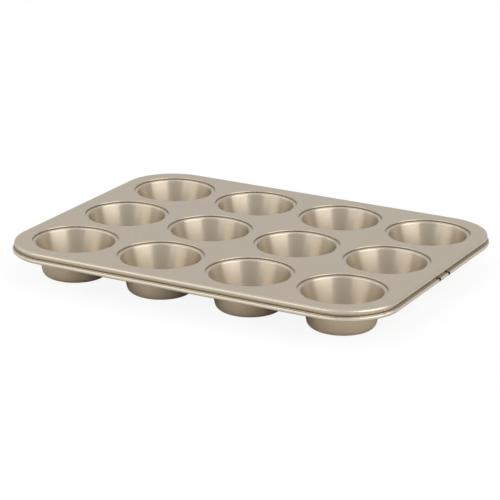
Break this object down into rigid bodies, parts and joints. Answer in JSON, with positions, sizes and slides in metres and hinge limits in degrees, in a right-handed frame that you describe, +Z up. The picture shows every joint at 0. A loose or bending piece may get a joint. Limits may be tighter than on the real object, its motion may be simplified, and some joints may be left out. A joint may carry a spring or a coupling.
{
  "type": "muffin tin",
  "caption": "Rectangular baking tin: a pierced plate with a wired rim carries a grid of flat-bottomed, tapered cups, each locked in by a folded seam.",
  "frame": {"origin": "middle of the tin on the surface it stands on, under the flat bottoms of the cups", "axes": "+X along the long side, +Y along the short side, +Z up out of the cups"},
  "size_m": [0.3766, 0.2876, 0.0332],
  "materials": {
    "plate_sheet": "steel sheet with a matte warm grey release coating",
    "cup_sheet": "steel sheet with a satin champagne release coating",
    "wire": "drawn mild steel wire"
  },
  "bodies": {
    "root": {"top_plate": "plate_sheet", "rim_wire": "wire", "cup_row1_1": "cup_sheet", "cup_row1_2": "cup_sheet", "cup_row1_3": "cup_sheet", "cup_row1_4": "cup_sheet", "cup_row2_1": "cup_sheet", "cup_row2_2": "cup_sheet", "cup_row2_3": "cup_sheet", "cup_row2_4": "cup_sheet", "cup_row3_1": "cup_sheet", "cup_row3_2": "cup_sheet", "cup_row3_3": "cup_sheet", "cup_row3_4": "cup_sheet"}
  },
  "joints": []
}
